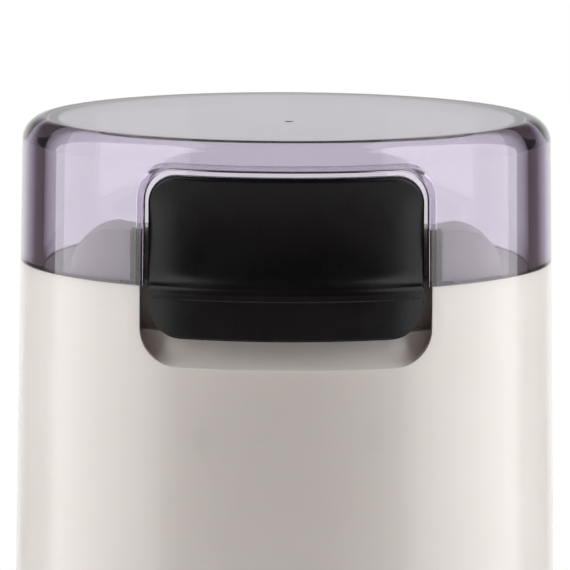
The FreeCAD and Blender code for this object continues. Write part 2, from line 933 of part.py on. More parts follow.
def make_stator_core():
    ring = tube(stator_radius, stator_radius - stator_ring, stator_bottom, stator_top)
    pole = block(
        bore_radius, stator_radius - beyond, -pole_half_width, pole_half_width, stator_bottom, stator_top
    )
    shoe = tube(bore_radius + pole_shoe, bore_radius, stator_bottom, stator_top)
    reach = stator_radius
    wedge = [(0, 0), (reach, -reach * shoe_spread), (reach, reach * shoe_spread)]
    points = [Vector(x, y, stator_bottom) for x, y in wedge]
    wedge = Part.Face(Part.makePolygon(points + points[:1])).extrude(
        Vector(0, 0, stator_top - stator_bottom)
    )
    poles = both_sides(pole.cut(disc(bore_radius, 0, seam_height))) + both_sides(shoe.common(wedge))
    lugs = [disc(post_radius, stator_bottom, stator_top, 0, y) for y in (-bolt_circle, bolt_circle)]
    solid = union([ring] + poles + lugs)
    return solid.cut(bolt_holes()).removeSplitter()


def make_field_coils():
    inner_r = bore_radius + pole_shoe + part_gap
    outer_r = stator_radius - stator_ring - part_gap
    low = stator_bottom - coil_overhang
    high = stator_top + coil_overhang
    coil = block(
        inner_r, outer_r, -coil_half_width, coil_half_width, low, high
    ).common(disc(outer_r, low, high))
    window = pole_half_width + part_gap
    gap = part_gap
    coil = coil.cut(
        block(inner_r - beyond, outer_r + beyond, -window, window, stator_bottom - gap, stator_top + gap)
    )
    return group(both_sides(coil))


def make_thermal_fuse():
    x = (bore_radius + pole_shoe + stator_radius - stator_ring) / 2
    z = stator_top + coil_overhang + fuse_radius
    return Part.makeCylinder(fuse_radius, fuse_length, Vector(x, -fuse_length / 2, z), Vector(0, 1, 0))


def bolt_holes():
    return [disc(bolt_radius + part_gap, 0, seam_height, 0, y) for y in (-bolt_circle, bolt_circle)]


def make_upper_bracket():
    low = upper_bracket_bottom
    high = low + bracket_plate
    bar = block(
        -bracket_half_width, bracket_half_width, -bolt_circle - bar_end, bolt_circle + bar_end, low, high
    )
    hub = disc(hub_radius, low - upper_hub_drop, carrier_bottom - hub_gap)
    posts = [disc(post_radius, stator_top, low + beyond, 0, y) for y in (-bolt_circle, bolt_circle)]
    solid = union([bar.common(disc(bolt_circle + bar_end, low, high)), hub] + posts)
    solid = solid.cut(bolt_holes())
    solid = solid.cut(disc(shaft_radius + shaft_clearance, 0, seam_height))
    bush_low = carrier_bottom - hub_gap - bush_length
    return solid.cut(disc(bush_radius, bush_low, seam_height)).removeSplitter()


def make_lower_bracket():
    low = lower_bracket_bottom
    high = low + bracket_plate
    plate = disc(stator_radius + flange_margin, low, high)
    hub = disc(hub_radius, low - hub_drop, high + hub_rise)
    posts = [disc(post_radius, low, stator_bottom, 0, y) for y in (-bolt_circle, bolt_circle)]
    top = brush_z() - brush_height / 2 - holder_wall
    near = holder_start() + pillar_inset
    far = holder_start() + holder_length - 1.5 * pillar_inset
    pillar = block(near, far, -pillar_half_width, pillar_half_width, high - overlap, top)
    solid = union([plate, hub] + posts + both_sides(pillar))
    solid = solid.cut(bolt_holes())
    solid = solid.cut(disc(shaft_radius + shaft_clearance, 0, seam_height))
    for k in range(window_count):
        angle = 360 / window_count * (k + overlap)
        solid = solid.cut(turned(disc(window_radius, low - beyond, high + beyond, window_circle), angle))
    return solid.cut(disc(bush_radius, 0, low - hub_drop + bush_length)).removeSplitter()


def make_bearing_bushes():
    top = carrier_bottom - hub_gap
    high = tube(bush_radius, shaft_radius + running_gap, top - bush_length, top)
    low = lower_bracket_bottom - hub_drop
    return group([high, tube(bush_radius, shaft_radius + running_gap, low, low + bush_length)])


def make_motor_dampers():
    low = upper_bracket_bottom + bracket_plate
    high = carrier_bottom - carrier_boss_length
    return group(
        [tube(post_radius, bolt_radius + sight_gap, low, high, 0, y) for y in (-bolt_circle, bolt_circle)]
    )


def make_motor_bolts():
    bolts = []
    for y in (-bolt_circle, bolt_circle):
        head = disc(bolt_head_radius, lower_bracket_bottom - bolt_head_height, lower_bracket_bottom, 0, y)
        shank = disc(bolt_radius, lower_bracket_bottom - overlap, bolt_tip(), 0, y)
        drive = disc(bolt_drive_radius, 0, lower_bracket_bottom - bolt_head_height + bolt_drive_depth, 0, y)
        bolts.append(union([head, shank]).cut(drive))
    return group(bolts)


def brush_z():
    return commutator_bottom + (commutator_length - riser_height) / 2


def holder_start():
    return commutator_radius + holder_gap


def make_brush_holders():
    z = brush_z()
    w = brush_width / 2 + running_gap
    h = brush_height / 2 + running_gap
    x0 = holder_start()
    x1 = x0 + holder_length
    box = block(
        x0, x1, -w - holder_wall, w + holder_wall, z - h - holder_wall + running_gap, z + h + holder_wall
    )
    return group(both_sides(box.cut(block(x0 - beyond, x1 - holder_wall, -w, w, z - h, z + h))))


def make_carbon_brushes():
    z = brush_z()
    start = commutator_radius + running_gap
    wide = brush_width / 2
    high = brush_height / 2
    brush = block(start - beyond, start + brush_length, -wide, wide, z - high, z + high)
    return group(both_sides(brush.cut(disc(start, 0, seam_height))))


def make_brush_springs():
    start = commutator_radius + running_gap + brush_length
    length = holder_start() + holder_length - holder_wall - start
    sleeve = spring_sleeve(
        brush_spring_radius, spring_wire, Vector(start, 0, brush_z()), Vector(1, 0, 0), length
    )
    return group(both_sides(sleeve))


def make_noise_capacitor():
    wide, deep, tall = capacitor_size
    low = lower_bracket_bottom + bracket_plate
    box = block(
        capacitor_circle - deep / 2, capacitor_circle + deep / 2, -wide / 2, wide / 2, low, low + tall
    )
    upright = [edge for edge in box.Edges if abs(edge.BoundBox.ZLength - tall) < 1e-6]
    return turned(box.makeFillet(capacitor_corner, upright), capacitor_angle)


def make_push_button():
    top = seam_height + button_top
    lip_r = seam_radius + lip_reach
    lip_z = seam_height - lip_drop
    edge_r = outer_radius(top) - button_top_inset
    scoop_r = seam_radius - scoop_depth
    chin_r = seam_radius - chin_inset
    back_top = edge_r - button_plate
    back_low = chin_r - chin_wall
    middle_z = seam_height + button_top * scoop_middle
    top_edge = Vector(edge_r, 0, top)
    bend = Vector(scoop_r + scoop_foot_reach, 0, seam_height + scoop_foot_rise)
    ledge = Vector(scoop_r + ledge_reach, 0, seam_height + ledge_rise)
    nose_top = Vector(lip_r - nose_round, 0, seam_height + nose_rise)
    nose = Vector(lip_r - nose_middle_in, 0, seam_height - nose_middle_drop)
    nose_low = Vector(lip_r, 0, seam_height - nose_drop)
    corners = [
        nose_low,
        Vector(lip_r, 0, lip_z + lip_chamfer),
        Vector(lip_r - lip_chamfer, 0, lip_z),
        Vector(back_low, 0, lip_z),
        Vector(back_low, 0, seam_height),
        Vector(back_top, 0, top),
        top_edge,
    ]
    edges = [Part.LineSegment(a, b).toShape() for a, b in zip(corners, corners[1:])]
    edges.append(Part.Arc(top_edge, Vector(scoop_r, 0, middle_z), bend).toShape())
    edges.append(Part.Arc(bend, ledge, nose_top).toShape())
    edges.append(Part.Arc(nose_top, nose, nose_low).toShape())
    plate = Part.Face(Part.Wire(edges)).revolve(Vector(0, 0, 0), Vector(0, 0, 1), 360)
    plate = plate.common(rounded_prism(button_half_width, lip_z, top, lip_corner, button_top_corner))
    front = [edge for edge in rim_edges(plate, top) if edge.BoundBox.YMin < -back_top - beyond]
    plate = plate.makeFillet(button_edge_round, front)

    chin_low = seam_height - button_chin
    chin = revolve(
        [
            (back_low, chin_low),
            (chin_r - 1.5 * chin_chamfer, chin_low),
            (chin_r - overlap * chin_chamfer, chin_low + chin_chamfer),
            (chin_r, lip_z + beyond),
            (back_low, lip_z + beyond),
        ]
    )
    half = button_half_width - chin_side_inset
    chin = chin.common(rounded_prism(half, chin_low, lip_z + overlap, button_chin_corner, 0))

    arm_top = seam_height - web_drop
    y0 = pivot_y - arm_depth / 2
    y1 = pivot_y + arm_depth / 2
    arms = arm_boxes(y0, y1, pivot_z, arm_top)
    webs = arm_boxes(-back_low - overlap, y1, arm_top - web_height, arm_top)
    webs = [web.common(disc(back_low + overlap, 0, lid_top)) for web in webs]
    far = arm_inner + arm_thickness
    eyes = [
        Part.makeCylinder(arm_eye_radius, arm_thickness, Vector(x, pivot_y, pivot_z), Vector(1, 0, 0))
        for x in (-far, arm_inner)
    ]
    tail = block(
        -far,
        far,
        pivot_y + pivot_pin_radius + tail_pin_gap,
        pivot_y + tail_length,
        pivot_z - tail_thickness / 2,
        pivot_z + tail_thickness / 2,
    )
    solid = union([plate, chin] + arms + webs + eyes + [tail])
    bore = along_x(pivot_pin_radius + running_gap, niche_half_width)
    return solid.cut(bore).removeSplitter()


def make_pivot_pin():
    half = arm_inner + arm_thickness + part_gap + sight_gap + ear_thickness
    return along_x(pivot_pin_radius, half)


def spring_sleeve(outer, wire, start, direction, length):
    """A hidden coil spring, as the plain sleeve that its turns fill."""
    sleeve = Part.makeCylinder(outer, length, start, direction)
    return sleeve.cut(Part.makeCylinder(outer - wire, length + 2 * beyond, start - direction, direction))


def make_button_spring():
    outer = spring_radius + spring_wire / 2
    end = math.sqrt((seam_radius - chin_inset - chin_wall) ** 2 - outer**2) - running_gap
    start = Vector(0, -niche_back_radius, seam_height - spring_drop)
    return spring_sleeve(outer, spring_wire, start, Vector(0, -1, 0), end - niche_back_radius)


def make_switch_body():
    y = switch_y()
    top = switch_top_z()
    body = block(
        -switch_width / 2,
        switch_width / 2,
        y - switch_depth / 2,
        y + switch_depth / 2,
        top - switch_height,
        top,
    )
    body = body.cut(disc(plunger_radius + running_gap, top - 2 * beyond, top + beyond, 0, plunger_y()))
    tails = []
    low = top - switch_height
    wide = terminal_width / 2
    thick = terminal_thickness / 2
    for x in (-terminal_pitch, 0, terminal_pitch):
        tails.append(block(x - wide, x + wide, y - thick, y + thick, low - terminal_length, low + thick))
    return union([body] + tails)


def make_switch_plunger():
    top = switch_top_z()
    return disc(plunger_radius, top - plunger_bite, top + plunger_height, 0, plunger_y())


def make_switch_bracket():
    y1 = switch_y() - switch_depth / 2
    y0 = y1 - switch_bracket_thickness
    half = bracket_screw_x + bracket_post_radius
    low = switch_top_z() - switch_height
    plate = block(-half, half, y0, y1, low, switch_top_z() - beyond)
    hooks = []
    for x in (-switch_width / 2 - hook_thickness, switch_width / 2):
        hooks.append(block(x, x + hook_thickness, y0, y1 + hook_reach, low, switch_top_z() - beyond))
    for x in (-bracket_screw_x, bracket_screw_x):
        start = Vector(x, y0 - switch_bracket_thickness, switch_mid_z())
        reach = 3 * switch_bracket_thickness
        plate = plate.cut(Part.makeCylinder(small_screw_radius + part_gap, reach, start, Vector(0, 1, 0)))
    inside = disc(shell_inner_radius(switch_top_z()) - part_gap, low - beyond, switch_top_z())
    return union([plate] + hooks).common(inside)


def make_bracket_screws():
    y1 = switch_y() - switch_depth / 2
    screws = []
    for x in (-bracket_screw_x, bracket_screw_x):
        start = Vector(x, y1, switch_mid_z())
        head = Part.makeCylinder(small_screw_radius * 2, small_screw_head, start, Vector(0, 1, 0))
        length = switch_bracket_thickness + small_screw_bite
        shank = Part.makeCylinder(small_screw_radius, length, start, Vector(0, -1, 0))
        screws.append(union([head, shank]))
    return group(screws)


def make_lid_switch():
    top = ledge_top - ledge_thickness
    outer = shell_inner_radius(top) - part_gap - lid_switch_gap
    half = lid_switch_width / 2
    corner_r = math.sqrt(outer**2 - half**2)
    body = block(corner_r - lid_switch_depth, corner_r, -half, half, top - lid_switch_height, top)
    key = disc(key_radius, top - overlap, top + key_height, corner_r - key_radius - key_inset)
    return turned(union([body, key]), lid_tab_angle)


def make_deck_screws():
    screws = []
    for angle in screw_tab_angles:
        head_z = ledge_top - ledge_thickness
        head = disc(deck_screw_radius * 2, head_z - deck_screw_head, head_z, deck_screw_circle)
        tip = seam_height - deck_thickness - deck_screw_tip_gap
        shank = disc(deck_screw_radius, head_z - overlap, tip, deck_screw_circle)
        screws.append(turned(union([head, shank]), angle))
    return group(screws)


def make_base_cover():
    low = base_plate_bottom
    flush_r = outer_radius(shell_bottom)
    edge_z = low + base_chamfer
    plate = revolve(
        [(0, low), (flush_r - base_chamfer, low), (flush_r, edge_z), (flush_r, base_top), (0, base_top)]
    )
    rim_r = shell_inner_radius(shell_bottom) - base_gap
    top = low + base_rim_height
    rim_top_r = shell_inner_radius(top) - base_gap
    rim = revolve(
        [
            (rim_r - base_rim_wall, base_top - overlap),
            (rim_r, base_top - overlap),
            (rim_r, shell_bottom),
            (rim_top_r, top),
            (rim_r - base_rim_wall, top),
        ]
    )
    solid = union([plate, rim])
    for k in range(foot_count):
        pocket = disc(foot_radius, low - beyond, low + foot_inset, foot_circle)
        solid = solid.cut(turned(pocket, foot_turn + k * 360 / foot_count))
    for angle in base_screw_angles:
        hole = disc(screw_radius + part_gap, low - beyond, base_top + beyond, screw_circle)
        sink = disc(screw_head_radius + part_gap, low - beyond, low + screw_sink, screw_circle)
        solid = solid.cut(turned(hole, angle)).cut(turned(sink, angle))
    field = disc(vent_field_radius, low - beyond, base_top + beyond)
    field = field.cut(
        block(
            -vent_spine / 2,
            vent_spine / 2,
            -seam_radius,
            seam_radius,
            low - 2 * beyond,
            base_top + 2 * beyond,
        ),
    )
    for k in range(vent_rows):
        y = (k - (vent_rows - 1) / 2) * vent_pitch
        slot = block(
            -seam_radius,
            seam_radius,
            y - vent_width / 2,
            y + vent_width / 2,
            low - beyond,
            base_top + beyond,
        )
        solid = solid.cut(slot.common(field))
    return solid.removeSplitter()


def make_base_screws():
    screws = []
    low = base_plate_bottom
    reach, half = screw_slot
    for angle in base_screw_angles:
        head = disc(screw_head_radius, low - overlap, low + screw_sink, screw_circle)
        shank = disc(screw_radius, low + overlap, base_top + screw_length - screw_spare, screw_circle)
        cross = block(screw_circle - reach, screw_circle + reach, -half, half, low - beyond, low + half)
        screws.append(turned(union([head, shank]).cut(cross), angle))
    return group(screws)


def make_rubber_feet():
    feet = []
    for k in range(foot_count):
        foot = disc(foot_radius, 0, base_plate_bottom + foot_inset, foot_circle)
        foot = foot.makeFillet(foot_edge, rim_edges(foot, 0))
        feet.append(turned(foot, foot_turn + k * 360 / foot_count))
    return group(feet)


def make_cord_grommet():
    face = grommet_face_y()
    inner_wall = shell_inner_radius(inlet_height) - inlet_pad_depth
    flange = along_y(grommet_flange - grommet_fit, face - grommet_face, face)
    neck = along_y(grommet_neck, inner_wall - grommet_lip, face)
    lock = along_y(grommet_neck + grommet_lock, inner_wall - grommet_lip, inner_wall)
    return union([flange, neck, lock]).cut(
        along_y(inlet_bore, inner_wall - far_beyond, face + far_beyond)
    ).removeSplitter()


parts = {
    "lid": make_lid,
    "body_shell": make_body_shell,
    "deck_ring": make_deck_ring,
    "deck_screws": make_deck_screws,
    "bowl_carrier": make_bowl_carrier,
    "grinding_bowl": make_grinding_bowl,
    "bowl_gasket": make_bowl_gasket,
    "shaft_seal": make_shaft_seal,
    "blade": make_blade,
    "blade_spacer": make_blade_spacer,
    "blade_nut": make_blade_nut,
    "motor_shaft": make_motor_shaft,
    "armature_core": make_armature_core,
    "armature_winding": make_armature_winding,
    "commutator": make_commutator,
    "cooling_fan": make_cooling_fan,
    "stator_core": make_stator_core,
    "field_coils": make_field_coils,
    "thermal_fuse": make_thermal_fuse,
    "upper_bracket": make_upper_bracket,
    "lower_bracket": make_lower_bracket,
    "bearing_bushes": make_bearing_bushes,
    "motor_dampers": make_motor_dampers,
    "motor_bolts": make_motor_bolts,
    "brush_holders": make_brush_holders,
    "carbon_brushes": make_carbon_brushes,
    "brush_springs": make_brush_springs,
    "noise_capacitor": make_noise_capacitor,
    "push_button": make_push_button,
    "button_pivot_pin": make_pivot_pin,
    "button_spring": make_button_spring,
    "switch_body": make_switch_body,
    "switch_plunger": make_switch_plunger,
    "switch_bracket": make_switch_bracket,
    "bracket_screws": make_bracket_screws,
    "lid_switch": make_lid_switch,
    "base_cover": make_base_cover,
    "base_screws": make_base_screws,
    "rubber_feet": make_rubber_feet,
    "cord_grommet": make_cord_grommet,
}

for name, make in parts.items():
    shape = make()
    shape.exportStep("parts/" + name + ".step")
    print(name, len(shape.Solids), shape.isValid(), round(shape.Volume, 1))
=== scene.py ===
import math

import bpy
from mathutils import Matrix, Vector


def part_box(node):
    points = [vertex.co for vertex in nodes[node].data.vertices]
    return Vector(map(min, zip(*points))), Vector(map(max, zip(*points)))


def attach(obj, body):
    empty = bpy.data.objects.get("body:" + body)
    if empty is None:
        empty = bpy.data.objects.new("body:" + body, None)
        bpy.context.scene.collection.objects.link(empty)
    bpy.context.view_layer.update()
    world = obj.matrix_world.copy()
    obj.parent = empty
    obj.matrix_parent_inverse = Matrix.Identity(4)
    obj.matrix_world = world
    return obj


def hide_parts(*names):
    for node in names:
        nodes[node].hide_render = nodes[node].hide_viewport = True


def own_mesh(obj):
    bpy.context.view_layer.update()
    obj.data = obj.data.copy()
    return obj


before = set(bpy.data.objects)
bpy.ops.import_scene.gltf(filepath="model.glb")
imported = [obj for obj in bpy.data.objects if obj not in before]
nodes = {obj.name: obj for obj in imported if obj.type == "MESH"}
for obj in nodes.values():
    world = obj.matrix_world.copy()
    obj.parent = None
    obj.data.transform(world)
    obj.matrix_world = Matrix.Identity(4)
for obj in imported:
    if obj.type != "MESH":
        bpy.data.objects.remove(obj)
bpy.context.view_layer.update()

bpy.ops.object.select_all(action="DESELECT")
bpy.context.scene.view_settings.view_transform = "Standard"
print("loaded", len(nodes), "nodes")
seamHeight = 0.141  # where the lid meets the housing


# camera at the photograph's viewing angle
view = {
    "distance": 1.095,
    "pitch": 7.32,
    "roll": 0.242,
    "lens": 407.4,
    "aimX": -0.000165,
    "aimDrop": 0.004673,
    "sensor": 36,
    "clipEnd": 20,
}


def addCamera():
    pitch = math.radians(view["pitch"])
    bpy.ops.object.camera_add()
    camera = bpy.context.object
    camera.name = "photoCamera"
    camera.data.lens = view["lens"]
    camera.data.sensor_width = view["sensor"]
    camera.data.clip_end = view["clipEnd"]
    back = Vector((0, -math.cos(pitch), math.sin(pitch))) * view["distance"]
    place = Vector((view["aimX"], 0, seamHeight - view["aimDrop"])) + back
    tilt = Matrix.Rotation(math.radians(90 - view["pitch"]), 4, "X")
    turn = Matrix.Rotation(math.radians(view["roll"]), 4, "Z")
    camera.matrix_world = Matrix.Translation(place) @ tilt @ turn
    bpy.context.scene.camera = camera
    print("camera placed")


# floor and soft studio light
studio = {
    "floorSize": 6.0,
    "floorColor": (0.86, 0.86, 0.86, 1),
    "floorRough": 0.9,
    "white": (0.16, 0.42),  # distances between which the floor turns to plain white
    "wallSides": (0.82, 0.95),
    "wallTop": (-0.05, 0.32),
    "roomDark": 0.03,
    "fill": 0.19,
    "fillColor": (1, 0.80, 0.78, 1),
    "boxDistance": 0.35,
    "boxFront": 0.28,
    "boxBack": 0.149,
    "boxHeight": 0.90,
    "boxLift": 0.005,
    "leftPower": 2.38,
    "rightPower": 2.6,
}


def addArea(name, place, size, power):
    bpy.ops.object.light_add(type="AREA", location=place)
    lamp = bpy.context.object
    lamp.name = name
    lamp.data.shape = "RECTANGLE"
    lamp.data.size = size[0]
    lamp.data.size_y = size[1]
    lamp.data.energy = power
    aim = Vector((-place[0], 0, 0))
    lamp.rotation_euler = aim.to_track_quat("-Z", "Y").to_euler()


def addFloor():
    bpy.ops.mesh.primitive_plane_add(size=studio["floorSize"])
    floor = bpy.context.object
    floor.name = "floor"
    paint = newMaterial("floorPaint", studio["floorColor"], studio["floorRough"])
    tree = paint.node_tree
    shader = tree.nodes["Principled BSDF"]
    output = tree.nodes["Material Output"]
    path = addNode(tree, "ShaderNodeLightPath")
    mirrored = mathNode(tree, "MAXIMUM", path.outputs["Is Glossy Ray"], path.outputs["Is Transmission Ray"])
    place = addNode(tree, "ShaderNodeTexCoord")
    length = addNode(tree, "ShaderNodeVectorMath", operation="LENGTH")
    tree.links.new(place.outputs["Object"], length.inputs[0])
    # mirrored in the lid, the floor is white only behind the object, like the wall
    split = addNode(tree, "ShaderNodeSeparateXYZ")
    tree.links.new(place.outputs["Object"], split.inputs[0])
    behind = mathNode(tree, "DIVIDE", split.outputs["Y"], length.outputs["Value"])
    mirrored = mathNode(tree, "MULTIPLY", mirrored, ramp(tree, behind, *studio["wallSides"], 0, 1))
    seen = mathNode(tree, "MAXIMUM", path.outputs["Is Camera Ray"], mirrored)
    far = mathNode(tree, "MULTIPLY", ramp(tree, length.outputs["Value"], *studio["white"], 0, 1), seen)
    white = addNode(tree, "ShaderNodeEmission")
    mix = addNode(tree, "ShaderNodeMixShader")
    tree.links.new(far, mix.inputs[0])
    tree.links.new(shader.outputs[0], mix.inputs[1])
    tree.links.new(white.outputs[0], mix.inputs[2])
    tree.links.new(mix.outputs[0], output.inputs["Surface"])
    floor.data.materials.append(paint)


def ramp(tree, value, start, end, low, high):
    node = addNode(tree, "ShaderNodeMapRange", interpolation_type="SMOOTHSTEP")
    node.inputs["From Min"].default_value = start
    node.inputs["From Max"].default_value = end
    node.inputs["To Min"].default_value = low
    node.inputs["To Max"].default_value = high
    tree.links.new(value, node.inputs["Value"])
    return node.outputs["Result"]


def mathNode(tree, operation, a, b):
    node = addNode(tree, "ShaderNodeMath", operation=operation)
    for value, socket in zip((a, b), node.inputs):
        if isinstance(value, (int, float)):
            socket.default_value = value
        else:
            tree.links.new(value, socket)
    return node.outputs[0]


def addWorld():
    # a white wall behind, and a dark room round the rest, with a little fill on matt surfaces
    world = bpy.data.worlds.new("studioWorld")
    bpy.context.scene.world = world
    world.use_nodes = True
    tree = world.node_tree
    tree.nodes.clear()
    output = addNode(tree, "ShaderNodeOutputWorld")
    path = addNode(tree, "ShaderNodeLightPath")
    place = addNode(tree, "ShaderNodeTexCoord")
    split = addNode(tree, "ShaderNodeSeparateXYZ")
    tree.links.new(place.outputs["Generated"], split.inputs[0])
    wall = ramp(tree, split.outputs["Y"], *studio["wallSides"], 0, 1)
    low = ramp(tree, split.outputs["Z"], *studio["wallTop"], 1, 0)
    room = mathNode(tree, "MAXIMUM", mathNode(tree, "MULTIPLY", wall, low), studio["roomDark"])
    strength = mathNode(tree, "MAXIMUM", room, path.outputs["Is Camera Ray"])
    sky = addNode(tree, "ShaderNodeBackground")
    sky.inputs["Color"].default_value = (1, 1, 1, 1)
    tree.links.new(strength, sky.inputs["Strength"])
    fill = addNode(tree, "ShaderNodeBackground")
    fill.inputs["Color"].default_value = studio["fillColor"]
    fill.inputs["Strength"].default_value = studio["fill"]
    mix = addNode(tree, "ShaderNodeMixShader")
    tree.links.new(path.outputs["Is Diffuse Ray"], mix.inputs[0])
    tree.links.new(sky.outputs[0], mix.inputs[1])
    tree.links.new(fill.outputs[0], mix.inputs[2])
    tree.links.new(mix.outputs[0], output.inputs["Surface"])


def addStudio():
    addFloor()
    addWorld()
    length = studio["boxFront"] + studio["boxBack"]
    middle = (studio["boxBack"] - studio["boxFront"]) / 2
    centre = studio["boxHeight"] / 2 + studio["boxLift"]
    for side, power in ((-1, studio["leftPower"]), (1, studio["rightPower"])):
        place = (side * studio["boxDistance"], middle, centre)
        name = "leftSoftbox" if side < 0 else "rightSoftbox"
        addArea(name, place, (length, studio["boxHeight"]), power)
    print("floor, world and two softboxes placed")


def addNode(tree, kind, **settings):
    node = tree.nodes.new(kind)
    for key, value in settings.items():
        setattr(node, key, value)
    return node


def newMaterial(name, color, rough, metal=0.0):
    material = bpy.data.materials.new(name)
    material.use_nodes = True
    shader = material.node_tree.nodes["Principled BSDF"]
    shader.inputs["Base Color"].default_value = color
    shader.inputs["Roughness"].default_value = rough
    shader.inputs["Metallic"].default_value = metal
    return material


# finish of each material slot: two tones, a range of roughness, and the size and depth of its grain
finishes = {
    "cream_gloss": {"tones": ((0.785, 0.75, 0.71), (0.81, 0.778, 0.738)), "rough": (0.20, 0.25),
                    "grain": (45, 45, 45), "fine": 70, "bump": 0.02,
                    "also": {"Subsurface Weight": 0.5, "Subsurface Radius": (1, 0.85, 0.76),
                             "Subsurface Scale": 0.004}},
    "black_satin": {"tones": ((0.005, 0.0046, 0.0052), (0.0075, 0.007, 0.008)), "rough": (0.24, 0.32),
                    "grain": (120, 120, 120), "fine": 55, "bump": 0.05,
                    "also": {"Specular IOR Level": 0.26}},
    "charcoal_plastic": {"tones": ((0.045, 0.045, 0.048), (0.062, 0.062, 0.066)), "rough": (0.48, 0.58),
                         "grain": (150, 150, 150), "fine": 30, "bump": 0.25},
    "grey_plastic": {"tones": ((0.20, 0.21, 0.22), (0.25, 0.26, 0.27)), "rough": (0.42, 0.52),
                     "grain": (120, 120, 120), "fine": 25, "bump": 0.15},
    "red_plastic": {"tones": ((0.30, 0.02, 0.016), (0.36, 0.032, 0.024)), "rough": (0.30, 0.38),
                    "grain": (200, 200, 200), "fine": 12, "bump": 0.08},
    "yellow_plastic": {"tones": ((0.60, 0.36, 0.03), (0.68, 0.43, 0.05)), "rough": (0.22, 0.30),
                       "grain": (150, 150, 150), "fine": 12, "bump": 0.08},
    "white_nylon": {"tones": ((0.66, 0.65, 0.60), (0.74, 0.735, 0.69)), "rough": (0.38, 0.48),
                    "grain": (120, 120, 120), "fine": 20, "bump": 0.1},
    "bowl_steel": {"tones": ((0.48, 0.48, 0.49), (0.66, 0.66, 0.67)), "rough": (0.20, 0.34), "metal": 1,
                   "grain": (2600, 1, 2600), "fine": 2, "bump": 0.12, "turned": True},
    "blade_steel": {"tones": ((0.55, 0.55, 0.57), (0.70, 0.70, 0.72)), "rough": (0.14, 0.26), "metal": 1,
                    "grain": (3000, 90, 3000), "fine": 2, "bump": 0.1},
    "zinc_steel": {"tones": ((0.52, 0.53, 0.55), (0.66, 0.665, 0.67)), "rough": (0.22, 0.34), "metal": 1,
                   "grain": (400, 400, 400), "fine": 5, "bump": 0.08},
    "core_steel": {"tones": ((0.10, 0.10, 0.11), (0.36, 0.36, 0.38)), "rough": (0.32, 0.50), "metal": 1,
                   "grain": (4, 4, 2400), "fine": 1, "bump": 0.8},
    "copper_wire": {"tones": ((0.34, 0.10, 0.035), (0.66, 0.25, 0.10)), "rough": (0.20, 0.34), "metal": 1,
                    "grain": (12, 12, 2200), "fine": 1, "bump": 0.7},
    "bronze": {"tones": ((0.30, 0.17, 0.07), (0.44, 0.27, 0.12)), "rough": (0.40, 0.52), "metal": 1,
               "grain": (900, 900, 900), "fine": 4, "bump": 0.3},
    "brass_sheet": {"tones": ((0.52, 0.34, 0.10), (0.66, 0.46, 0.17)), "rough": (0.24, 0.36), "metal": 1,
                    "grain": (60, 60, 1600), "fine": 2, "bump": 0.1},
    "carbon": {"tones": ((0.022, 0.022, 0.024), (0.045, 0.045, 0.048)), "rough": (0.50, 0.65),
               "grain": (900, 900, 900), "fine": 4, "bump": 0.3},
    "black_rubber": {"tones": ((0.014, 0.014, 0.014), (0.024, 0.024, 0.024)), "rough": (0.62, 0.74),
                     "grain": (180, 180, 180), "fine": 22, "bump": 0.25},
}
bumpHeight = 0.0001
noiseDetail = 4
noiseSpread = (0.3, 0.7)  # share of the noise over which tone and roughness change


def grainVector(tree, look):
    place = addNode(tree, "ShaderNodeTexCoord").outputs["Object"]
    if look.get("turned"):
        # rings round the axis that the part is turned about
        split = addNode(tree, "ShaderNodeSeparateXYZ")
        tree.links.new(place, split.inputs[0])
        flat = addNode(tree, "ShaderNodeCombineXYZ")
        tree.links.new(split.outputs["X"], flat.inputs["X"])
        tree.links.new(split.outputs["Y"], flat.inputs["Y"])
        radius = addNode(tree, "ShaderNodeVectorMath", operation="LENGTH")
        tree.links.new(flat.outputs[0], radius.inputs[0])
        rings = addNode(tree, "ShaderNodeCombineXYZ")
        tree.links.new(radius.outputs["Value"], rings.inputs["X"])
        tree.links.new(split.outputs["Z"], rings.inputs["Z"])
        place = rings.outputs[0]
    scale = addNode(tree, "ShaderNodeMapping")
    scale.inputs["Scale"].default_value = look["grain"]
    tree.links.new(place, scale.inputs["Vector"])
    return scale.outputs[0]


def addBump(tree, vector, size, strength):
    fine = addNode(tree, "ShaderNodeTexNoise")
    fine.inputs["Scale"].default_value = size
    tree.links.new(vector, fine.inputs["Vector"])
    bump = addNode(tree, "ShaderNodeBump")
    bump.inputs["Strength"].default_value = strength
    bump.inputs["Distance"].default_value = bumpHeight
    tree.links.new(fine.outputs["Fac"], bump.inputs["Height"])
    tree.links.new(bump.outputs[0], tree.nodes["Principled BSDF"].inputs["Normal"])


def makeFinish(name, look):
    material = newMaterial(name, (1, 1, 1, 1), look["rough"][0], look.get("metal", 0))
    tree = material.node_tree
    shader = tree.nodes["Principled BSDF"]
    for socket, value in look.get("also", {}).items():
        shader.inputs[socket].default_value = value
    vector = grainVector(tree, look)
    noise = addNode(tree, "ShaderNodeTexNoise")
    noise.inputs["Scale"].default_value = 1
    noise.inputs["Detail"].default_value = noiseDetail
    tree.links.new(vector, noise.inputs["Vector"])
    tone = addNode(tree, "ShaderNodeValToRGB")
    for mark, place, color in zip(tone.color_ramp.elements, noiseSpread, look["tones"]):
        mark.position = place
        mark.color = (*color, 1)
    tree.links.new(noise.outputs["Fac"], tone.inputs[0])
    tree.links.new(tone.outputs["Color"], shader.inputs["Base Color"])
    rough = ramp(tree, noise.outputs["Fac"], *noiseSpread, *look["rough"])
    tree.links.new(rough, shader.inputs["Roughness"])
    addBump(tree, vector, look["fine"], look["bump"])
    return material


def dressNodes():
    made = {slot: makeFinish(slot + "Finish", look) for slot, look in finishes.items()}
    made["smoky_clear"] = lidPlastic()
    for node in nodes.values():
        slot = node.data.materials[0].name
        node.data.materials.clear()
        node.data.materials.append(made[slot])
    print("dressed", len(nodes), "nodes in", len(made), "finishes")
    return made


